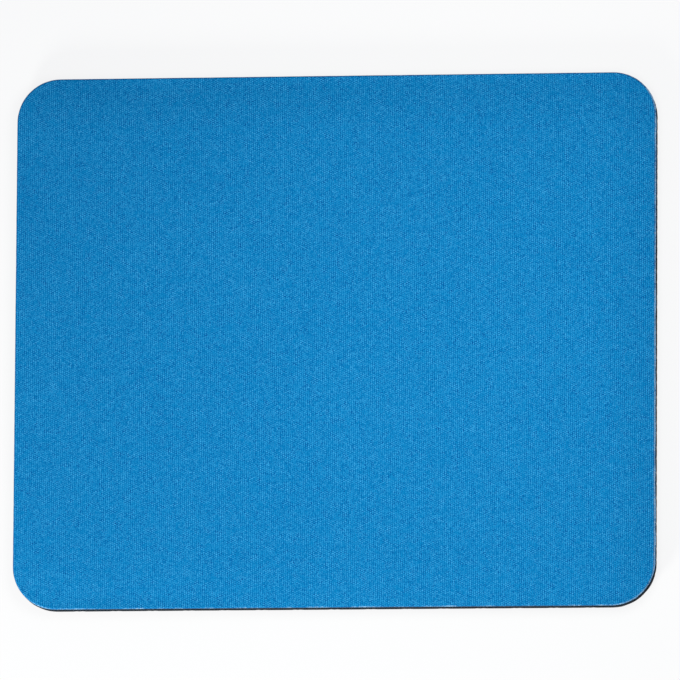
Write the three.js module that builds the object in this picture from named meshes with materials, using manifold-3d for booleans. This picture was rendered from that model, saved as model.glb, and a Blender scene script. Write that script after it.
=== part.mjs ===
// Cloth-faced mouse pad. Millimetres, +Z up, X along the long side, Y towards the far side.
// The origin is the middle of the underside.
// The pad is one laminate, cut out by a steel-rule die: knitted cloth, adhesive film, sponge rubber.
// Every layer follows the same rounded outline, the cut line, moved in by a named amount.
import * as THREE from "three";
import { mergeVertices } from "three/addons/utils/BufferGeometryUtils.js";
import Module from "manifold-3d";

// Cut line
const padWidth = 228.6;
const padDepth = 190.5;
const cornerRadius = 15.4;

// Layers, from the desk up
const baseThickness = 5.35;
const filmThickness = 0.15;
const clothThickness = 0.5;

// Cut wall of the sponge: rubber squeezed under the die springs back into a shallow hollow
const wallHollow = 0.16;

// Edge of the cloth: the die drags it down, so that its cut slants in and its rim is rolled
const clothSetback = 0.36;
const clothRoll = 0.22;

// Tread of the underside, moulded into the sheet before it is cut, so that it runs out at the edge:
// lozenge lands, a long and a short diagonal apart, between crossing V grooves
const treadLong = 13;
const treadShort = 9;
const grooveWidth = 1.4;
const grooveDepth = 0.4;

// Thickness of the plate that moulds the tread, below its deepest points
const mouldPlate = 2;

// Steps of the round stretches
const cornerSteps = 16;
const wallSteps = 6;
const rollSteps = 4;

const quarterTurn = Math.PI / 2;

const wasm = await Module();
wasm.setup();

// The cut line moved outward by offset, anticlockwise from the right side
function outline(offset) {
  const radius = cornerRadius + offset;
  const centreX = padWidth / 2 - cornerRadius;
  const centreY = padDepth / 2 - cornerRadius;
  const corners = [[1, 1], [-1, 1], [-1, -1], [1, -1]];
  const points = [];
  corners.forEach(([sideX, sideY], corner) => {
    for (let step = 0; step <= cornerSteps; step += 1) {
      const angle = (corner + step / cornerSteps) * quarterTurn;
      const x = sideX * centreX + radius * Math.cos(angle);
      const y = sideY * centreY + radius * Math.sin(angle);
      points.push(new THREE.Vector2(x, y));
    }
  });
  return points;
}

// One closed body round the outline. The points of its edge profile run up the wall from the lower
// face to the upper face, with the offset from the cut line as x and the height as y.
function layerGeometry(profile) {
  const rings = profile.map(({ x: offset, y: height }) =>
    outline(offset).map((point) => new THREE.Vector3(point.x, point.y, height)));
  const corners = [];
  rings.slice(1).forEach((upper, index) => {
    const lower = rings[index];
    lower.forEach((point, place) => {
      const next = (place + 1) % lower.length;
      corners.push(point, lower[next], upper[next]);
      corners.push(point, upper[next], upper[place]);
    });
  });
  const lowest = rings[0];
  const highest = rings.at(-1);
  THREE.ShapeUtils.triangulateShape(outline(0), []).forEach(([a, b, c]) => {
    corners.push(lowest[a], lowest[c], lowest[b]);
    corners.push(highest[a], highest[b], highest[c]);
  });
  return new THREE.BufferGeometry().setFromPoints(corners);
}

// Edge profile of the sponge base, hollowed halfway up
function baseProfile() {
  const profile = [];
  for (let step = 0; step <= wallSteps; step += 1) {
    const share = step / wallSteps;
    const hollow = wallHollow * Math.sin(share * Math.PI) ** 2;
    profile.push(new THREE.Vector2(-hollow, baseThickness * share));
  }
  return profile;
}

// Edge profile of the cloth: the slanted cut, then the rolled rim up to the flat face
function clothProfile() {
  const foot = new THREE.Vector2(0, 0);
  const shoulder = new THREE.Vector2(-clothSetback, clothThickness);
  const slant = shoulder.clone().sub(foot).normalize();
  const rollStart = shoulder.clone().addScaledVector(slant, -clothRoll);
  const rollEnd = new THREE.Vector2(shoulder.x - clothRoll, shoulder.y);
  const roll = new THREE.QuadraticBezierCurve(rollStart, shoulder, rollEnd);
  return [foot, ...roll.getPoints(rollSteps)];
}

// A closed geometry as a solid for cutting
function solidOf(geometry) {
  const bare = geometry.clone();
  bare.deleteAttribute("normal");
  bare.deleteAttribute("uv");
  const merged = mergeVertices(bare);
  const vertProperties = merged.attributes.position.array;
  const triVerts = new Uint32Array(merged.index.array);
  return new wasm.Manifold(new wasm.Mesh({ numProp: 3, vertProperties, triVerts }));
}

// A cut solid as a geometry again
function geometryOf(solid) {
  const { vertProperties, triVerts } = solid.getMesh();
  const geometry = new THREE.BufferGeometry();
  geometry.setAttribute("position", new THREE.BufferAttribute(vertProperties, 3));
  geometry.setIndex(new THREE.BufferAttribute(triVerts, 1));
  return geometry.toNonIndexed();
}

// The plate that moulds the tread. Its ridges form the grooves and meet at the corners of a lozenge
// grid, and their slopes run down to a point below the middle of each land. One lozenge lies round
// the middle of the pad, and the plate reaches past all its corners.
function treadMould() {
  const sideDistance = (treadLong * treadShort) / 2 / Math.hypot(treadLong, treadShort);
  const pitDepth = grooveDepth * (sideDistance / (grooveWidth / 2) - 1);
  const last = Math.ceil(padWidth / 2 / treadLong + padDepth / 2 / treadShort);
  const corners = [];
  for (let row = -last; row <= last; row += 1) {
    for (let column = -last; column <= last; column += 1) {
      const ridge = lozenge(column, row, grooveDepth);
      const back = lozenge(column, row, -pitDepth - mouldPlate);
      const pit = gridPoint(column, row, -pitDepth);
      const isEdge = [row === -last, column === last, row === last, column === -last];
      corners.push(back[0], back[2], back[1], back[0], back[3], back[2]);
      ridge.forEach((corner, side) => {
        const next = (side + 1) % ridge.length;
        corners.push(corner, ridge[next], pit);
        if (isEdge[side]) {
          corners.push(back[side], back[next], ridge[next]);
          corners.push(back[side], ridge[next], corner);
        }
      });
    }
  }
  return new THREE.BufferGeometry().setFromPoints(corners);
}

// The corners of one lozenge of the tread, anticlockwise from the nearest
function lozenge(column, row, height) {
  const steps = [[-1, -1], [1, -1], [1, 1], [-1, 1]];
  return steps.map(([x, y]) => gridPoint(column + x / 2, row + y / 2, height));
}

// A point of the tread grid, whose columns and rows run along the sides of the lozenges
function gridPoint(column, row, height) {
  const x = ((column - row) * treadLong) / 2;
  const y = ((column + row) * treadShort) / 2;
  return new THREE.Vector3(x, y, height);
}

// Sponge-rubber base with its cut wall and its moulded tread. Where a groove runs out along the
// cut line it can free a hair of rubber, which falls away, so the largest body is the base.
function spongeBase() {
  const slab = solidOf(layerGeometry(baseProfile()));
  const bodies = slab.subtract(solidOf(treadMould())).decompose();
  const base = bodies.reduce((larger, body) => (body.volume() > larger.volume() ? body : larger));
  const rubber = new THREE.MeshStandardMaterial({ color: "#21262a", roughness: 0.9, metalness: 0 });
  return namedMesh("sponge_base", geometryOf(base), rubber, 0);
}

// Adhesive film that bonds the cloth to the sponge
function bondFilm() {
  const profile = [new THREE.Vector2(0, 0), new THREE.Vector2(0, filmThickness)];
  const film = new THREE.MeshStandardMaterial({ color: "#65727a", roughness: 0.6, metalness: 0 });
  return namedMesh("bond_film", layerGeometry(profile), film, baseThickness);
}

// Knitted cloth face
function clothFace() {
  const cloth = new THREE.MeshStandardMaterial({ color: "#1b86c6", roughness: 0.88, metalness: 0 });
  const bottom = baseThickness + filmThickness;
  return namedMesh("cloth_face", layerGeometry(clothProfile()), cloth, bottom);
}

function namedMesh(name, geometry, material, bottom) {
  geometry.computeVertexNormals();
  const mesh = new THREE.Mesh(geometry, material);
  mesh.name = name;
  mesh.position.z = bottom;
  return mesh;
}

const mousePad = new THREE.Group();
mousePad.add(spongeBase(), bondFilm(), clothFace());

export default mousePad;
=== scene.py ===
import math

import bmesh
import bpy
from mathutils import Euler, Matrix, Vector, noise


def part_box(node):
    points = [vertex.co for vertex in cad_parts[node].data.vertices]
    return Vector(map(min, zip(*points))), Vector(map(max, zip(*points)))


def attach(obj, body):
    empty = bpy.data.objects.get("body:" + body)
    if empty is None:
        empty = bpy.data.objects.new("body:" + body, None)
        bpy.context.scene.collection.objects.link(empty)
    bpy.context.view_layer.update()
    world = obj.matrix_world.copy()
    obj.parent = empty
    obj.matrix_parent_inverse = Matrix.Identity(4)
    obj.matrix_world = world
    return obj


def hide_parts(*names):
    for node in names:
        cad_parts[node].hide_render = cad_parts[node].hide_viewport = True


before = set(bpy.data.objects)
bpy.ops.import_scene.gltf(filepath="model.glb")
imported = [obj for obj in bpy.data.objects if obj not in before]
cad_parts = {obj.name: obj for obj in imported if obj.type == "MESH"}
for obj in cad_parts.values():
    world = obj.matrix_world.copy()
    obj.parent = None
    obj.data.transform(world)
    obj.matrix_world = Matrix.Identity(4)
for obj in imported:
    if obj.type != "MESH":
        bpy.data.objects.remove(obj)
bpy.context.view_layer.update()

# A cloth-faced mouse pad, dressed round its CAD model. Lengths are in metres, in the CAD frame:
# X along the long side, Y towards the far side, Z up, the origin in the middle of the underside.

MM = 0.001


def linear(red, green, blue):
    """A colour written in the 0 to 255 levels of a screen, as the shader's linear colour."""

    def channel(level):
        share = level / 255
        return share / 12.92 if share <= 0.04045 else ((share + 0.055) / 1.055) ** 2.4

    return (channel(red), channel(green), channel(blue), 1.0)


# Light: a soft lamp above the pad, a farther one at the near left, and a dim bluish room. Each lamp
# has its place and its watts. Where the camera sees the room itself, it is white.
LAMPS = {
    "overhead": ((0.082, 0.023, 0.28), 0.475),
    "near_left": ((-0.348, -0.62, 0.28), 5.3),
}
LAMP_SIZE = 0.2
LAMP_TINT = (1.0, 1.0, 0.93)
ROOM_LIGHT = 0.2
ROOM_TINT = (0.8, 0.95, 1.42, 1.0)
WHITE = (1.0, 1.0, 1.0, 1.0)

# The floor: half its side, its two tones, and the share of pure white in what the camera sees of it
FLOOR_HALF = 4.0
FLOOR_TONES = (linear(246, 246, 246), linear(249, 249, 249))
FLOOR_WHITENESS = 0.85

# The photograph's frame and the camera that was fitted to the pad's outline in it. The sensor's
# width is in the camera's own millimetres.
FRAME_PIXELS = 680
FOCAL_PIXELS = 11271
SENSOR_WIDTH = 36.0
CAMERA_DISTANCE = 4.0
CAMERA_TARGET = Vector((1.75, 0.62, 3.0)) * MM
PAD_TURN_DEGREES = (-8.27, -6.53, 0.59)
CLIP_END = 50.0

# The cut line and the edge of the cloth, as the CAD model has them
_, BASE_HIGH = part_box("sponge_base")
FILM_LOW, FILM_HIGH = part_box("bond_film")
CLOTH_LOW, CLOTH_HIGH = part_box("cloth_face")
HALF_WIDTH = BASE_HIGH.x
HALF_DEPTH = BASE_HIGH.y
CORNER_RADIUS = 15.4 * MM
CLOTH_SETBACK = 0.36 * MM
CLOTH_ROLL = 0.22 * MM
FACE_INSET = CLOTH_SETBACK + CLOTH_ROLL

# Points nearer to each other than this are one, and edges that rise less than this are level
SAME_POINT = 0.001 * MM
LEVEL_RISE = 0.01 * MM

# Where each slow noise is drawn, so that no two are alike
WALE_SEED = 3.7
COURSE_SEED = 9.1
SWELL_SEED = 1.3
EDGE_SEED = 5.5
FILM_SEED = 7.7

# The knit: wales run from the near side to the far side, courses across them
WALE_PITCH = 0.742 * MM
COURSE_PITCH = 0.764 * MM
COLUMNS_PER_WALE = 4
CLOTH_ROWS = 40
RIB_DEPTH = 0.05 * MM
WALE_DRIFT = 0.22 * MM
WALE_DRIFT_SCALE = 26 * MM
FACE_SWELL = 0.03 * MM
FACE_SWELL_SCALE = 30 * MM

# The cloth's edge: the steps of its roll, the share by which the cut yarn runs ahead of them, the
# places of the points down the cut, and the height and the scale of the edge's waves
ROLL_STEPS = 4
ROLL_LEAD_SHARE = 0.1
CUT_SHARES = (0.35, 0.7, 1.0)
EDGE_WOBBLE = 0.03 * MM
EDGE_WAVE_SCALE = 2.4 * MM

# Torn yarn: how far it stands out at the middle of the right side, how much that gains evenly to
# the far side, and the power by which it doubles to the near side
YARN_REACH = 0.45 * MM
FAR_REACH_GAIN = 1.5
NEAR_REACH_POWER = 4

# The share of the yarn that the knife tore, which also paints the cut's light and shade: everywhere,
# more at the near side, where its darker frayed yarn is painted shade, and as much less at the far
# side, and more again at the right side, where its pale bare yarn is painted light and which has a
# loss towards its far end. The power tells how soon the right side's share falls off round its
# corners.
TORN_SHARE = 0.06
TORN_AND_SHADED_NEAR_SHARE = 0.04
TORN_AND_LIT_RIGHT_SHARE = 0.94
TORN_LOSS_SHARE = 0.5
TORN_POWER = 1.5

# The soft rim, which the knife pressed down: its width and, for each edge, the axis across it, its
# place on that axis and its slope there
RIM_WIDTH = 20 * MM
RIM_SLOPES = (
    (0, HALF_WIDTH, 0.18),
    (0, -HALF_WIDTH, 0.12),
    (1, HALF_DEPTH, 0.12),
    (1, -HALF_DEPTH, 0.05),
)

# The range in which most values of a noise lie, and a wider one
SOFT_NOISE = (0.3, 0.7)
WIDE_NOISE = (0.2, 0.8)

# How the knit shows: the slant of the stitches' legs, the painted shade in the gaps and painted
# highlight on the crowns of the wales and of the stitches, the random tone of single legs, of the
# fibres and of the slow change of the dye, and the patches in which the stitches show less, down to
# a low share
STITCH_SLANT = 0.35
RIB_PAINTED_SHADE = 0.295
STITCH_PAINTED_SHADE = 0.335
LEG_SHADE = 0.45
FIBRE_SHADE = 0.1
DYE_SHADE = 0.02
FIBRE_SIZE = 0.2 * MM
DYE_SIZE = 45 * MM
PATCH_SIZE = 3.0 * MM
PATCH_LOW = 0.5

# The relief of the knit in the material: its middle level, what the wales, the stitches, single legs
# and the fibres add, and the height that a relief of 1 stands for
RELIEF_MIDDLE = 0.5
RIB_RELIEF = 0.2
STITCH_RELIEF = 0.2
LEG_RELIEF = 0.1
FIBRE_RELIEF = 0.3
RELIEF_HEIGHT = 0.08 * MM

# The cloth's linear colour in its gaps, darkened as painted shade, on average, and on its brightest
# fibres, lightened as painted highlight, the tint of its sheen and its roughness in its gaps and on
# its ribs
SHADED_DARK_BLUE = (0.0, 0.03, 0.24, 1.0)
MID_BLUE = (0.0005, 0.237, 0.55, 1.0)
HIGHLIT_LIGHT_BLUE = (0.066, 0.455, 0.83, 1.0)
SHEEN_BLUE = linear(150, 205, 240)
KNIT_ROUGHNESS = (0.97, 0.85)

# The darker dye of frayed yarn. It grows with the share of cut yarn, and once more, as painted shade
# most of all over the near side's cut, which the near lamp lights, over the range in which that
# share tells that yarn is torn.
FRAYED_AND_SHADED_BLUE = linear(8, 88, 146)
FRAYED_SHARE = 0.5
TORN_RANGE = (0.51, 0.56)
TORN_PAINTED_SHADE_SHARE = 0.48

# The pale fibres of bare yarn, by the noise that picks them, and the size of that noise
CUT_YARN = {
    0.3: linear(30, 132, 200),
    0.42: linear(96, 176, 226),
    0.55: linear(172, 216, 244),
    0.65: linear(196, 226, 244),
    0.75: linear(128, 168, 198),
}
YARN_SIZE = 0.35 * MM

# Bare yarn shows where the cut and the fray, a fine and a coarse noise, add up to enough
FINE_FRAY_SIZE = 0.9 * MM
COARSE_FRAY_SIZE = 7 * MM
FRAY_WEIGHT = 0.8
BARE_RANGE = (1.35, 1.7)

# The film's squeezed edge: the step of its mesh, its bulge and the size of the bulge's waves
FILM_STEP = 1.2 * MM
FILM_BULGE = 0.05 * MM
FILM_WAVE_SCALE = 3.1 * MM

# The film's uneven tone and its grain
FILM_TONES = (linear(70, 92, 108), linear(122, 130, 132))
FILM_ROUGHNESS = (0.5, 0.75)
FILM_TONE_SIZE = 0.9 * MM
FILM_GRAIN_SIZE = 0.25 * MM
FILM_GRAIN_HEIGHT = 0.03 * MM

# The cut wall of the sponge: the step of its mesh, the height, above the tread, at which that starts,
# the depth and the scale of its roughness, the spread of its foot, and how far inside the cut line
# its points may lie
WALL_STEP = 1.0 * MM
WALL_GRID_FOOT = 0.5 * MM
WALL_ROUGHNESS = 0.05 * MM
WALL_ROUGHNESS_SCALE = 1.6 * MM
FOOT_FLARE = 0.15 * MM
WALL_INSET = 0.3 * MM

# The tread: a height that its edges lie below, the rounding of its sharp edges and the steps of that,
# the angle over which an edge is sharp, and the angle under which two faces are one
TREAD_TOP = 0.45 * MM
TREAD_ROUNDING = 0.09 * MM
ROUNDING_STEPS = 2
FLAT_EDGE_ANGLE = math.radians(12)
SAME_PLANE_ANGLE = math.radians(0.5)

# Open cells of the wall, from large to fine: how far they lie apart, the range of distances, as
# shares of that, over which a cell ends, and how dark its hollow is painted, as shade
CELL_KINDS = (
    (1.0 * MM, (0.1, 0.24), 1.0),
    (0.48 * MM, (0.12, 0.36), 0.7),
    (0.2 * MM, (0.1, 0.45), 0.5),
)
# The black of the cells' hollows, a painted shade
CELL_SHADE_BLACK = linear(2, 3, 4)
CELL_DEPTH = 0.2 * MM
# The rubber between the cells, of a random tone, with a blue tint that paints the bluish cast of the
# shade
RUBBER_BLUE_CAST_TONES = (linear(16, 27, 35), linear(35, 48, 60))
RUBBER_TONE_SIZE = 1.8 * MM

# The moulded skin of the underside: its grain, and a little grey dust on it
SKIN_TONES = (linear(24, 26, 28), linear(42, 45, 48))
GRAIN_SIZE = 0.35 * MM
GRAIN_HEIGHT = 0.04 * MM
DUST_GREY = linear(74, 75, 76)
DUST_SIZE = 9 * MM
DUST_RANGE = (0.5, 0.8)
DUST_SHARE = 0.25

# The sponge's roughness on its skin and on its cut wall
SPONGE_ROUGHNESS = (0.72, 0.9)

# Texture maps: the shown side below, then the four strips of the edge, then the hidden sides
MAP_WIDTH = 0.97
MAP_MARGIN = 0.01
MAP_SCALE = MAP_WIDTH / (2 * HALF_WIDTH)
STRIP_START = 0.83
STRIP_STEP = 0.03
STRIP_HEIGHT = 0.024
HIDDEN_SCALE = 0.04
HIDDEN_SHIFT = 0.25
HIDDEN_HEIGHT = 0.974

# A face is level when its normal's Z is over the first, and part of a wall when it is under the second
LEVEL_NORMAL = 0.99
WALL_NORMAL = 0.5


def corner_reach(x, y):
    """The way from the straight core of the outline to a point: it points straight outward."""
    beyond_x = max(abs(x) - (HALF_WIDTH - CORNER_RADIUS), 0.0)
    beyond_y = max(abs(y) - (HALF_DEPTH - CORNER_RADIUS), 0.0)
    return Vector((math.copysign(beyond_x, x), math.copysign(beyond_y, y)))


def outward(x, y):
    """The direction straight out of the pad at a point of its rim."""
    return corner_reach(x, y).normalized()


def inset(x, y):
    """How far inside the cut line a point lies, up to the radius of the corners."""
    return CORNER_RADIUS - corner_reach(x, y).length


def half_depth_at(x, offset):
    """How far the outline, moved outward by offset, reaches along Y at x."""
    beyond = max(abs(x) - (HALF_WIDTH - CORNER_RADIUS), 0.0)
    radius = CORNER_RADIUS + offset
    return HALF_DEPTH - CORNER_RADIUS + math.sqrt(max(radius**2 - beyond**2, 0.0))


def outline(offset, step):
    """Points along the outline, moved outward by offset, anticlockwise from the right side."""
    radius = CORNER_RADIUS + offset
    centre_x = HALF_WIDTH - CORNER_RADIUS
    centre_y = HALF_DEPTH - CORNER_RADIUS
    corner_steps = math.ceil(radius * math.pi / 2 / step)
    points = []
    corners = ((1, 1), (-1, 1), (-1, -1), (1, -1))
    for quarter, (side_x, side_y) in enumerate(corners):
        for index in range(corner_steps + 1):
            angle = (quarter + index / corner_steps) * math.pi / 2
            arm = Vector((math.cos(angle), math.sin(angle))) * radius
            points.append(Vector((side_x * centre_x, side_y * centre_y)) + arm)
        straight = 2 * (centre_x if quarter % 2 == 0 else centre_y)
        straight_steps = math.ceil(straight / step)
        run = Vector((-side_x, 0)) if quarter % 2 == 0 else Vector((0, -side_y))
        start = points[-1]
        for index in range(1, straight_steps):
            points.append(start + run * straight * index / straight_steps)
    return points


def quarter_run(x, y):
    """How far a point of the edge lies along one quarter of the cut line, from the middle of the
    right side to the middle of the far side."""
    straight_x = HALF_WIDTH - CORNER_RADIUS
    straight_y = HALF_DEPTH - CORNER_RADIUS
    if y <= straight_y:
        return y
    if x <= straight_x:
        return straight_y + CORNER_RADIUS * math.pi / 2 + straight_x - x
    return straight_y + CORNER_RADIUS * math.atan2(y - straight_y, x - straight_x)


def drift(x, y, scale, seed):
    """Slow noise from -1 to 1 over the plan."""
    return noise.noise(Vector((x / scale, y / scale, seed)))


def new_object(name, data):
    """Puts a mesh, a lamp or a camera into the scene."""
    item = bpy.data.objects.new(name, data)
    bpy.context.scene.collection.objects.link(item)
    return item


def new_piece(name, vertices, faces):
    """Puts a new mesh into the scene."""
    mesh = bpy.data.meshes.new(name)
    mesh.from_pydata(vertices, [], faces)
    mesh.validate()
    mesh.update()
    return new_object(name, mesh)


def edge_on_map(x, y, centre, share):
    """Where a point of a face of the edge lies on the map. Each quarter of the edge has its own
    strip, and share tells how far down the edge the point is."""
    along = quarter_run(math.copysign(1, centre.x) * x, math.copysign(1, centre.y) * y)
    strip = (centre.x > 0) + 2 * (centre.y > 0)
    u = 0.5 + (along - quarter_run(0.0, HALF_DEPTH) / 2) * MAP_SCALE
    return u, STRIP_START + strip * STRIP_STEP + min(max(share, 0.0), 1.0) * STRIP_HEIGHT


def side_on_map(x, y, side, shown_side):
    """Where a point of the upper or lower side lies on the map."""
    if side == shown_side:
        return 0.5 + side * x * MAP_SCALE, MAP_MARGIN + (y + HALF_DEPTH) * MAP_SCALE
    u = 0.5 + side * HIDDEN_SHIFT + x * MAP_SCALE * HIDDEN_SCALE
    return u, HIDDEN_HEIGHT + y * MAP_SCALE * HIDDEN_SCALE


def lay_map(piece, shown_side, edge_inset):
    """Gives a piece its texture map. The side that shows, 1 for the upper one, -1 for the lower one
    and 0 for none, fills most of it. The edge lies in four strips, and hidden sides are small."""
    mesh = piece.data
    top = max(vertex.co.z for vertex in mesh.vertices)
    depths = [top - v.co.z + edge_inset - inset(v.co.x, v.co.y) for v in mesh.vertices]
    on_edge = [inset(v.co.x, v.co.y) < edge_inset + SAME_POINT for v in mesh.vertices]
    deepest = max(depth for depth, edge in zip(depths, on_edge) if edge)
    places = [0.0] * (2 * len(mesh.loops))
    for face in mesh.polygons:
        side = 1 if face.normal.z > 0 else -1
        level = abs(face.normal.z) >= LEVEL_NORMAL
        is_edge = not level and all(on_edge[index] for index in face.vertices)
        for loop in face.loop_indices:
            index = mesh.loops[loop].vertex_index
            x, y, _ = mesh.vertices[index].co
            if is_edge:
                place = edge_on_map(x, y, face.center, depths[index] / deepest)
            else:
                place = side_on_map(x, y, side, shown_side)
            places[2 * loop:2 * loop + 2] = place
    mesh.uv_layers.new(name="OFBake").data.foreach_set("uv", places)


def cloth_columns():
    """Where the columns of the cloth's mesh stand along X: evenly over each wale, and one at each
    side."""
    edge = HALF_WIDTH - CLOTH_SETBACK - CLOTH_ROLL
    step = WALE_PITCH / COLUMNS_PER_WALE
    last = math.floor(edge / step - 0.5)
    return [-edge, *(index * step for index in range(-last, last + 1)), edge]


def cloth_edge_profile():
    """Offset, height, share of cut yarn and its bulge, from the flat face to the foot of the cut."""
    shoulder = Vector((-CLOTH_SETBACK, CLOTH_HIGH.z))
    foot = Vector((0.0, CLOTH_LOW.z))
    slant = (foot - shoulder).normalized()
    start = shoulder + Vector((-CLOTH_ROLL, 0))
    end = shoulder + slant * CLOTH_ROLL
    profile = []
    for index in range(1, ROLL_STEPS + 1):
        share = index / ROLL_STEPS
        point = start.lerp(shoulder, share).lerp(shoulder.lerp(end, share), share)
        profile.append((point.x, point.y, min(1.0, share + ROLL_LEAD_SHARE), 0.0))
    for share in CUT_SHARES:
        point = end.lerp(foot, share)
        profile.append((point.x, point.y, 1.0, math.sin(math.pi * share)))
    return profile


def torn_share_with_painted_light(point, way):
    """Which share of the yarn the knife tore: most at the right side, where it lessens towards the far
    corner, and least at the far side. The right side's share paints its cut pale as painted light, and
    the near side's extra share darkens its cut as painted shade."""
    loss = TORN_LOSS_SHARE * max(point.y, 0.0) / HALF_DEPTH
    right = (TORN_AND_LIT_RIGHT_SHARE - loss) * max(way.x, 0.0) ** TORN_POWER
    return TORN_SHARE + right - TORN_AND_SHADED_NEAR_SHARE * way.y


def yarn_reach(point):
    """How far fully torn yarn stands out at a point of the edge: farther towards the near and the far
    side."""
    along = point.y / HALF_DEPTH
    return YARN_REACH * (1 + (FAR_REACH_GAIN * along if along > 0 else along**NEAR_REACH_POWER))


def knit_place(x, y):
    """The wale and course number at a point of the cloth, with the knit's slow drift."""
    wale = (x + WALE_DRIFT * drift(x, y, WALE_DRIFT_SCALE, WALE_SEED)) / WALE_PITCH
    course = (y + WALE_DRIFT * drift(x, y, WALE_DRIFT_SCALE, COURSE_SEED)) / COURSE_PITCH
    return wale, course


class ClothMesh:
    """The mesh of the cloth as it grows. Each point has its place in the knit and its share of cut
    yarn."""

    def __init__(self):
        self.vertices = []
        self.faces = []
        self.knit = []
        self.cut = []

    def add(self, x, y, z, cut_share):
        """Adds a point and gives its number."""
        self.vertices.append((x, y, z))
        self.knit.extend((*knit_place(x, y), 0.0))
        self.cut.append(cut_share)
        return len(self.vertices) - 1

    def join(self, ring, next_ring):
        """Adds the faces between two rings of points."""
        for place, index in enumerate(ring):
            after = (place + 1) % len(ring)
            self.faces.append((index, next_ring[place], next_ring[after], ring[after]))


def add_cloth_face(mesh):
    """The flat face, with ribs along the wales. Gives its columns, each from near to far."""
    grid = []
    for x in cloth_columns():
        reach = half_depth_at(x, -FACE_INSET)
        column = []
        for row in range(CLOTH_ROWS + 1):
            y = reach * (2 * row / CLOTH_ROWS - 1)
            wale, _ = knit_place(x, y)
            rib = RIB_DEPTH * (0.5 - 0.5 * math.cos(2 * math.pi * wale))
            swell = FACE_SWELL * drift(x, y, FACE_SWELL_SCALE, SWELL_SEED)
            column.append(mesh.add(x, y, CLOTH_HIGH.z - rib + swell, 0.0))
        grid.append(column)
    for left, right in zip(grid, grid[1:]):
        for row in range(CLOTH_ROWS):
            mesh.faces.append((left[row], right[row], right[row + 1], left[row + 1]))
    return grid


def add_cloth_edge(mesh, ring):
    """The rolled rim and the slanted cut with its torn yarn, round the face. Gives its foot."""
    plan = [Vector(mesh.vertices[index][:2]) for index in ring]
    ways = [outward(*point) for point in plan]
    uneven = [drift(*point, EDGE_WAVE_SCALE, EDGE_SEED) for point in plan]
    for offset, height, cut_share, bulge in cloth_edge_profile():
        next_ring = []
        for point, way, lift in zip(plan, ways, uneven):
            wobble = EDGE_WOBBLE * lift * cut_share * (offset < 0)
            share = torn_share_with_painted_light(point, way)
            reach = yarn_reach(point) * (0.5 + 0.5 * lift) * bulge * share
            spot = point + way * (offset + FACE_INSET + wobble + reach)
            # A clean cut counts half as much as a torn one. This share also carries the painted light
            # of the right side's cut and the painted shade of the near side's.
            next_ring.append(mesh.add(*spot, height, cut_share * (0.5 + 0.5 * share)))
        mesh.join(ring, next_ring)
        ring = next_ring
    return ring


def close_cloth(mesh, foot, columns, rows):
    """The underside, from the foot's points: columns of them at the near and far side, and rows more
    at the right and left side."""
    near = foot[:columns]
    right = foot[columns:columns + rows]
    far = foot[columns + rows:2 * columns + rows][::-1]
    left = foot[2 * columns + rows:][::-1]
    for place in range(1, columns - 2):
        mesh.faces.append((near[place], far[place], far[place + 1], near[place + 1]))
    mesh.faces.append((*far[:2], near[1], near[0], *left))
    mesh.faces.append((near[-1], near[-2], *far[-2:], *right[::-1]))


def make_cloth():
    """The knitted face: ribs that run along the wales, a rolled rim and a slanted cut edge."""
    mesh = ClothMesh()
    grid = add_cloth_face(mesh)
    near_side = [column[0] for column in grid]
    right_side = grid[-1][1:-1]
    far_side = [column[-1] for column in grid]
    left_side = grid[0][1:-1]
    foot = add_cloth_edge(mesh, near_side + right_side + far_side[::-1] + left_side[::-1])
    close_cloth(mesh, foot, len(grid), len(right_side))

    cloth = new_piece("cloth_face_knit", mesh.vertices, mesh.faces)
    for polygon in cloth.data.polygons:
        polygon.use_smooth = True
    attributes = cloth.data.attributes
    attributes.new("knit", "FLOAT_VECTOR", "POINT").data.foreach_set("vector", mesh.knit)
    attributes.new("cut", "FLOAT", "POINT").data.foreach_set("value", mesh.cut)
    lay_map(cloth, 1, FACE_INSET)
    return cloth


def make_film():
    """The adhesive film, whose squeezed edge wavers along the cut line."""
    points = outline(0.0, FILM_STEP)
    middle = (FILM_LOW.z + FILM_HIGH.z) / 2
    vertices, rings = [], []
    for height, bulge in ((FILM_LOW.z, 0.0), (middle, 1.0), (FILM_HIGH.z, 0.0)):
        ring = []
        for point in points:
            wave = 0.5 + 0.5 * drift(*point, FILM_WAVE_SCALE, FILM_SEED)
            spot = point + outward(*point) * (bulge * wave * FILM_BULGE)
            vertices.append((*spot, height))
            ring.append(len(vertices) - 1)
        rings.append(ring)
    faces = [tuple(rings[0][::-1]), tuple(rings[-1])]
    for lower, upper in zip(rings, rings[1:]):
        for place in range(len(points)):
            after = (place + 1) % len(points)
            faces.append((lower[place], lower[after], upper[after], upper[place]))
    film = new_piece("bond_film_edge", vertices, faces)
    lay_map(film, 0, 0.0)
    return film


def is_at_wall(point):
    """True for the points of the sponge's cut wall."""
    return inset(point.x, point.y) < WALL_INSET


def divide_wall(shape):
    """Cuts the long level edges of the wall into steps, which makes its faces nearly square."""
    by_cuts = {}
    for edge in shape.edges:
        low, high = sorted(vertex.co.z for vertex in edge.verts)
        if high - low > LEVEL_RISE or low < WALL_GRID_FOOT:
            continue
        cuts = round(edge.calc_length() / WALL_STEP) - 1
        if cuts > 0:
            by_cuts.setdefault(cuts, []).append(edge)
    for cuts, edges in sorted(by_cuts.items()):
        bmesh.ops.subdivide_edges(shape, edges=edges, cuts=cuts, use_grid_fill=True)


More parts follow.
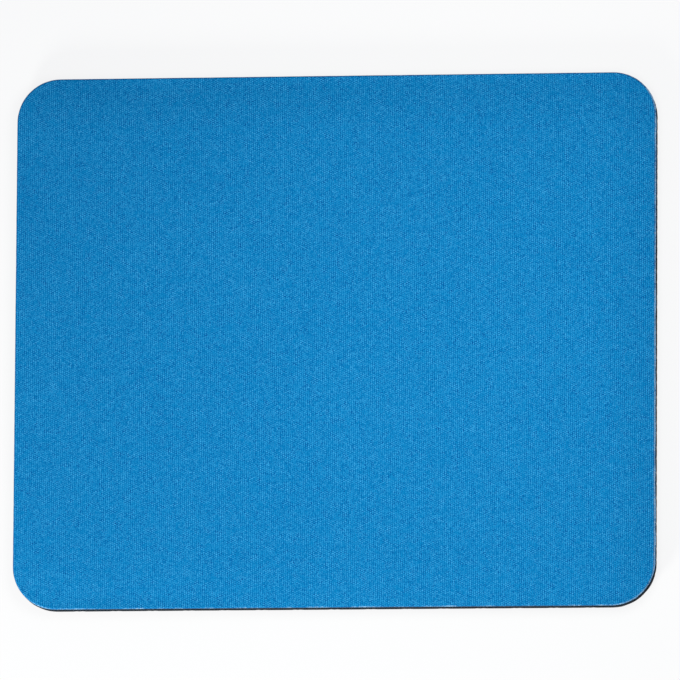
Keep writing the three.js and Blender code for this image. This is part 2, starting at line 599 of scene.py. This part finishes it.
def round_tread(shape):
    """Rounds the sharp edges of the underside."""
    edges = [
        edge
        for edge in shape.edges
        if max(vertex.co.z for vertex in edge.verts) < TREAD_TOP
        and not any(is_at_wall(vertex.co) for vertex in edge.verts)
        and edge.is_manifold
        and edge.calc_face_angle() > FLAT_EDGE_ANGLE
    ]
    bmesh.ops.bevel(
        shape,
        geom=edges,
        offset=TREAD_ROUNDING,
        offset_type="OFFSET",
        segments=ROUNDING_STEPS,
        profile=0.5,
        affect="EDGES",
        clamp_overlap=True,
    )


def roughen_wall(shape):
    """Draws the wall in unevenly, as torn sponge cells leave it, and spreads its foot a little, as
    soft rubber does when the knife lets go of it."""
    for vertex in shape.verts:
        if not is_at_wall(vertex.co):
            continue
        way = outward(vertex.co.x, vertex.co.y)
        if way.length == 0:
            continue
        rough = 0.5 + 0.5 * noise.noise(vertex.co / WALL_ROUGHNESS_SCALE)
        low = 1 - vertex.co.z / BASE_HIGH.z
        shift = way * (FOOT_FLARE * low**2 - WALL_ROUGHNESS * rough)
        vertex.co.x += shift.x
        vertex.co.y += shift.y


def foam_mesh():
    """The CAD solid of the base, with its moulded edges rounded and its cut wall roughened."""
    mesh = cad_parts["sponge_base"].data.copy()
    mesh.name = "sponge_base_foam"
    mesh.materials.clear()
    for name in [a.name for a in mesh.attributes if a.name.startswith(("custom", "sharp"))]:
        mesh.attributes.remove(mesh.attributes[name])
    shape = bmesh.new()
    shape.from_mesh(mesh)
    bmesh.ops.remove_doubles(shape, verts=shape.verts, dist=SAME_POINT)
    bmesh.ops.dissolve_limit(
        shape, angle_limit=SAME_PLANE_ANGLE, verts=shape.verts, edges=shape.edges
    )
    divide_wall(shape)
    round_tread(shape)
    roughen_wall(shape)
    shape.to_mesh(mesh)
    shape.free()
    return mesh


def make_sponge():
    """The sponge base. Its faces are marked as cut wall or moulded skin."""
    mesh = foam_mesh()
    sponge = new_object("sponge_base_foam", mesh)
    at_wall = [is_at_wall(vertex.co) for vertex in mesh.vertices]
    cut = []
    for face in mesh.polygons:
        steep = abs(face.normal.z) < WALL_NORMAL
        is_wall = steep and all(at_wall[index] for index in face.vertices)
        face.use_smooth = is_wall
        cut.extend([float(is_wall)] * face.loop_total)
    mesh.attributes.new("cut", "FLOAT", "CORNER").data.foreach_set("value", cut)
    lay_map(sponge, -1, WALL_INSET)
    return sponge


class Nodes:
    """Short calls that add shader nodes to one material."""

    def __init__(self, name):
        self.material = bpy.data.materials.new(name)
        self.material.use_nodes = True
        self.tree = self.material.node_tree
        self.tree.nodes.clear()
        self.output = self.tree.nodes.new("ShaderNodeOutputMaterial")

    @classmethod
    def of_tree(cls, tree):
        """The same calls for a tree that is there already."""
        nodes = cls.__new__(cls)
        nodes.tree = tree
        return nodes

    def put(self, socket, value):
        if isinstance(value, bpy.types.NodeSocket):
            self.tree.links.new(value, socket)
        else:
            socket.default_value = value

    def add(self, kind, inputs=(), **settings):
        node = self.tree.nodes.new(kind)
        for key, value in settings.items():
            setattr(node, key, value)
        for key, value in dict(inputs).items():
            self.put(node.inputs[key], value)
        return node

    def math(self, operation, first, second=0.0, third=0.0):
        inputs = {0: first, 1: second, 2: third}
        return self.add("ShaderNodeMath", inputs, operation=operation).outputs[0]

    def spread(self, value, low, high, to_low=0.0, to_high=1.0):
        """value from low..high to to_low..to_high, held at both ends."""
        inputs = {0: value, 1: low, 2: high, 3: to_low, 4: to_high}
        return self.add("ShaderNodeMapRange", inputs, clamp=True).outputs[0]

    def mix(self, share, first, second):
        node = self.add("ShaderNodeMix", {0: share}, data_type="RGBA")
        self.put(node.inputs[6], first)
        self.put(node.inputs[7], second)
        return node.outputs[2]

    def mix_normals(self, share, first, second):
        node = self.add("ShaderNodeMix", {0: share}, data_type="VECTOR")
        self.put(node.inputs[4], first)
        self.put(node.inputs[5], second)
        return node.outputs[1]

    def attribute(self, name, output):
        node = self.add("ShaderNodeAttribute", attribute_name=name, attribute_type="GEOMETRY")
        return node.outputs[output]

    def random(self, first, second):
        """Three random numbers from 0 to 1 for each pair of whole numbers."""
        pair = self.add("ShaderNodeCombineXYZ", {0: first, 1: second}).outputs[0]
        node = self.add("ShaderNodeTexWhiteNoise", {"Vector": pair}, noise_dimensions="2D")
        return self.add("ShaderNodeSeparateColor", {0: node.outputs["Color"]}).outputs

    def ramp(self, value, stops):
        """A colour that runs evenly through the stops, which are colours by place from 0 to 1."""
        node = self.add("ShaderNodeValToRGB", {0: value})
        elements = node.color_ramp.elements
        while len(elements) < len(stops):
            elements.new(0.5)
        for element, (place, colour) in zip(elements, sorted(stops.items())):
            element.position = place
            element.color = colour
        return node.outputs[0]

    def place(self):
        return self.add("ShaderNodeTexCoord").outputs["Object"]

    def noise(self, place, size, detail=2.0, roughness=0.5):
        """Noise whose features are about size across, from 0 to 1."""
        inputs = {"Vector": place, "Scale": 1 / size, "Detail": detail, "Roughness": roughness}
        return self.add("ShaderNodeTexNoise", inputs).outputs[0]

    def cells(self, place, size, low, high):
        """Round cells, about size apart: 0 inside them and 1 between them."""
        inputs = {"Vector": place, "Scale": 1 / size}
        node = self.add("ShaderNodeTexVoronoi", inputs, feature="F1")
        return self.spread(node.outputs["Distance"], low, high)

    def bump(self, height, distance, strength=1.0, normal=None):
        node = self.add("ShaderNodeBump", {"Height": height, "Distance": distance})
        node.inputs["Strength"].default_value = strength
        if normal is not None:
            self.put(node.inputs["Normal"], normal)
        return node.outputs[0]

    def surface(self, **inputs):
        shader = self.add("ShaderNodeBsdfPrincipled")
        for key, value in inputs.items():
            self.put(shader.inputs[key.replace("_", " ")], value)
        self.tree.links.new(shader.outputs[0], self.output.inputs["Surface"])
        return self.material


def knit_pattern(n, place):
    """The stitches of an interlock knit: their relief, from 0 to 1, and their shade about 0, which is
    painted shade in the gaps, painted highlight on the crowns and a random tone for each leg.

    Each wale is a column of V-shaped stitches, half a stitch off its neighbours. Some stitches
    stand out crisply and others are fuzzy, and each leg of a stitch takes the dye a little
    differently.
    """
    knit = n.add("ShaderNodeSeparateXYZ", {0: n.attribute("knit", "Vector")}).outputs
    wale = n.math("ROUND", knit[0])
    across = n.math("SUBTRACT", knit[0], wale)
    stagger = n.math("MULTIPLY", n.math("PINGPONG", wale, 1.0), 0.5)
    slant = n.math("MULTIPLY", n.math("ABSOLUTE", across), STITCH_SLANT)
    along = n.math("ADD", n.math("ADD", knit[1], stagger), slant)
    course = n.math("FLOOR", along)
    within = n.math("SUBTRACT", along, course)

    rib = n.math("COSINE", n.math("MULTIPLY", across, 2 * math.pi))
    stitch = n.math("COSINE", n.math("MULTIPLY_ADD", within, 2 * math.pi, math.pi))
    side = n.math("GREATER_THAN", across, 0.0)
    leg = n.math("MULTIPLY_ADD", wale, 2.0, side)
    half = n.math("FLOOR", n.math("MULTIPLY_ADD", course, 2.0, n.math("MULTIPLY", within, 2.0)))
    fuzz = n.random(wale, course)
    dye = n.random(leg, half)

    # The fuzz is a half on average, so the shades that it weakens are doubled.
    crisp = n.spread(n.noise(place, PATCH_SIZE, detail=1.0), *SOFT_NOISE, PATCH_LOW, 1.0)
    # The wales and the stitches paint shade into their gaps and highlight onto their crowns.
    shade = n.math("MULTIPLY", n.math("MULTIPLY", rib, fuzz[0]), 2 * RIB_PAINTED_SHADE)
    stitched = n.math("MULTIPLY", n.math("MULTIPLY", stitch, fuzz[1]), 2 * STITCH_PAINTED_SHADE)
    shade = n.math("ADD", shade, stitched)
    shade = n.math("ADD", shade, n.spread(dye[0], 0.0, 1.0, -LEG_SHADE, LEG_SHADE))
    shade = n.math("MULTIPLY", shade, crisp)

    ribbed = n.math("MULTIPLY_ADD", rib, RIB_RELIEF, RELIEF_MIDDLE)
    relief = n.math("MULTIPLY_ADD", stitch, STITCH_RELIEF, ribbed)
    relief = n.math("ADD", relief, n.spread(dye[1], 0.0, 1.0, -LEG_RELIEF, LEG_RELIEF))
    return relief, shade


def rim_normal(n, place):
    """The normal of the face, which slopes down a little towards its edges. The height is in
    metres."""
    along = n.add("ShaderNodeSeparateXYZ", {0: place}).outputs
    height = 0.0
    for axis, edge, slope in RIM_SLOPES:
        start = edge - math.copysign(RIM_WIDTH, edge)
        share = n.spread(along[axis], start, edge)
        height = n.math("MULTIPLY_ADD", n.math("POWER", share, 2.0), -slope * RIM_WIDTH / 2, height)
    return n.bump(height, distance=1.0)


def cut_yarn_colour(n, place, blue):
    """The colour of the cloth, darker where its yarn is frayed, darker still as painted shade where it
    is torn, most of all at the near side, and pale where bare yarn shows.
    """
    cut = n.attribute("cut", "Fac")
    fine = n.noise(place, FINE_FRAY_SIZE, detail=3.0, roughness=0.7)
    coarse = n.noise(place, COARSE_FRAY_SIZE, detail=1.0)
    fray = n.math("ADD", fine, coarse)
    bare = n.spread(n.math("MULTIPLY_ADD", fray, FRAY_WEIGHT, cut), *BARE_RANGE)
    yarn = n.ramp(n.noise(place, YARN_SIZE, roughness=0.7), CUT_YARN)
    # Torn yarn darkens further, as painted shade, most of all on the near side's cut.
    torn_painted_shade = n.spread(cut, *TORN_RANGE, 0.0, TORN_PAINTED_SHADE_SHARE)
    frayed_and_shaded_share = n.math("MULTIPLY_ADD", cut, FRAYED_SHARE, torn_painted_shade)
    return n.mix(bare, n.mix(frayed_and_shaded_share, blue, FRAYED_AND_SHADED_BLUE), yarn)


def knit_material():
    """Blue knitted polyester, with pale bare yarn where it was cut."""
    n = Nodes("blue_knit")
    place = n.place()
    relief, shade = knit_pattern(n, place)
    fibre = n.noise(place, FIBRE_SIZE, detail=1.0)
    slow = n.noise(place, DYE_SIZE)
    shade = n.math("ADD", shade, n.spread(fibre, *WIDE_NOISE, -FIBRE_SHADE, FIBRE_SHADE))
    shade = n.math("ADD", shade, n.spread(slow, *SOFT_NOISE, -DYE_SHADE, DYE_SHADE))
    # Dark blue holds the painted shade of the gaps and light blue the painted highlight of the fibres.
    blue = n.ramp(n.spread(shade, -1.0, 1.0), {0.0: SHADED_DARK_BLUE, 0.5: MID_BLUE, 1.0: HIGHLIT_LIGHT_BLUE})
    colour = cut_yarn_colour(n, place, blue)
    height = n.math("MULTIPLY_ADD", fibre, FIBRE_RELIEF, relief)
    normal = n.bump(height, RELIEF_HEIGHT, strength=0.8, normal=rim_normal(n, place))
    return n.surface(
        Base_Color=colour,
        Roughness=n.spread(relief, 0.0, 1.0, *KNIT_ROUGHNESS),
        Normal=normal,
        Specular_IOR_Level=0.07,
        Sheen_Weight=0.04,
        Sheen_Roughness=0.5,
        Sheen_Tint=SHEEN_BLUE,
    )


def film_material():
    """Grey-blue adhesive film of an uneven tone."""
    n = Nodes("bond_film")
    place = n.place()
    tone = n.noise(place, FILM_TONE_SIZE, detail=3.0)
    return n.surface(
        Base_Color=n.mix(n.spread(tone, *SOFT_NOISE), *FILM_TONES),
        Normal=n.bump(n.noise(place, FILM_GRAIN_SIZE), FILM_GRAIN_HEIGHT, strength=0.5),
        Roughness=n.spread(tone, *WIDE_NOISE, *FILM_ROUGHNESS),
    )


def open_cells(n, place):
    """The open cells of the cut wall: 0 in a large cell, 1 between the cells."""
    between = 1.0
    for size, end_shares, darkness in CELL_KINDS:
        cell = n.math("MULTIPLY_ADD", n.cells(place, size, *end_shares), darkness, 1 - darkness)
        between = n.math("MULTIPLY", between, cell)
    return between


def sponge_material():
    """Black sponge rubber: open cells on the cut wall, whose hollows get painted shade, a moulded skin
    with a fine grain below.
    """
    n = Nodes("black_sponge")
    place = n.place()
    cut = n.attribute("cut", "Fac")
    between = open_cells(n, place)
    # The rubber's blue tint is painted, the bluish cast of the shade.
    rubber = n.mix(n.spread(n.noise(place, RUBBER_TONE_SIZE), *SOFT_NOISE), *RUBBER_BLUE_CAST_TONES)
    # The hollows of the cells are painted black, as shade.
    wall = n.mix(between, CELL_SHADE_BLACK, rubber)
    grain = n.noise(place, GRAIN_SIZE, detail=3.0, roughness=0.6)
    dust = n.noise(place, DUST_SIZE, detail=3.0, roughness=0.6)
    dust_share = n.spread(dust, *DUST_RANGE, 0.0, DUST_SHARE)
    skin = n.mix(dust_share, n.mix(grain, *SKIN_TONES), DUST_GREY)
    skin_normal = n.bump(grain, GRAIN_HEIGHT, strength=0.7)
    wall_normal = n.bump(between, CELL_DEPTH)
    return n.surface(
        Base_Color=n.mix(cut, skin, wall),
        Roughness=n.spread(cut, 0.0, 1.0, *SPONGE_ROUGHNESS),
        Normal=n.mix_normals(cut, skin_normal, wall_normal),
        Specular_IOR_Level=0.08,
    )


def dress(piece, node, material):
    """Gives a piece its material, hangs it on the root body and hides the solid of the CAD model that
    it takes the place of.
    """
    piece.data.materials.append(material)
    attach(piece, "root")
    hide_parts(node)


def seen_directly(n):
    """1 where the camera, a mirror or glass looks, and 0 for light that falls on the pad."""
    path = n.add("ShaderNodeLightPath").outputs
    seen = n.math("MAXIMUM", path["Is Camera Ray"], path["Is Glossy Ray"])
    return n.math("MAXIMUM", seen, path["Is Transmission Ray"])


def floor_material():
    """Pale paper under the light, mixed with pure white where it is seen directly."""
    n = Nodes("pale_floor")
    colour = n.mix(n.noise(n.place(), FLOOR_HALF, detail=1.0), *FLOOR_TONES)
    paper = n.add("ShaderNodeBsdfDiffuse", {"Color": colour}).outputs[0]
    white = n.add("ShaderNodeEmission", {"Color": WHITE, "Strength": 1.0}).outputs[0]
    share = n.math("MULTIPLY", seen_directly(n), FLOOR_WHITENESS)
    shader = n.add("ShaderNodeMixShader", {0: share, 1: paper, 2: white})
    n.tree.links.new(shader.outputs[0], n.output.inputs["Surface"])
    return n.material


def add_floor():
    """A pale floor that looks nearly white and keeps the pad's shadow."""
    corners = ((-1, -1), (1, -1), (1, 1), (-1, 1))
    vertices = [(x * FLOOR_HALF, y * FLOOR_HALF, 0) for x, y in corners]
    floor = new_piece("floor", vertices, [(0, 1, 2, 3)])
    floor.data.materials.append(floor_material())


def add_lamp(name, place, watts):
    """A round soft lamp, turned to the middle of the pad."""
    lamp = bpy.data.lights.new(name, "AREA")
    lamp.shape = "DISK"
    lamp.size = LAMP_SIZE
    lamp.energy = watts
    lamp.color = LAMP_TINT
    light = new_object(name, lamp)
    light.location = place
    light.rotation_euler = (-Vector(place)).to_track_quat("-Z", "Y").to_euler()


def add_room():
    """An even, dim room, which looks white."""
    world = bpy.data.worlds.new("studio")
    world.use_nodes = True
    n = Nodes.of_tree(world.node_tree)
    sky = n.tree.nodes["Background"]
    seen = seen_directly(n)
    n.put(sky.inputs["Color"], n.mix(seen, ROOM_TINT, WHITE))
    n.put(sky.inputs["Strength"], n.spread(seen, 0.0, 1.0, ROOM_LIGHT, 1.0))
    bpy.context.scene.world = world


def add_camera():
    """The camera of the photograph: the pad, turned before it, keeps its own frame, so the
    camera is turned round the pad instead."""
    turn = Euler([math.radians(angle) for angle in PAD_TURN_DEGREES], "XYZ").to_matrix()
    back = turn.transposed()
    data = bpy.data.cameras.new("camera")
    data.sensor_width = SENSOR_WIDTH
    data.lens = FOCAL_PIXELS / FRAME_PIXELS * SENSOR_WIDTH
    data.clip_end = CLIP_END
    camera = new_object("camera", data)
    place = CAMERA_TARGET + back @ Vector((0.0, 0.0, CAMERA_DISTANCE))
    camera.matrix_world = Matrix.Translation(place) @ back.to_4x4()
    bpy.context.scene.camera = camera


cloth = make_cloth()
film = make_film()
sponge = make_sponge()
dress(cloth, "cloth_face", knit_material())
dress(film, "bond_film", film_material())
dress(sponge, "sponge_base", sponge_material())
add_floor()
for lamp_name, (lamp_place, lamp_watts) in LAMPS.items():
    add_lamp(lamp_name, lamp_place, lamp_watts)
add_room()
add_camera()
bpy.context.scene.view_settings.view_transform = "Standard"
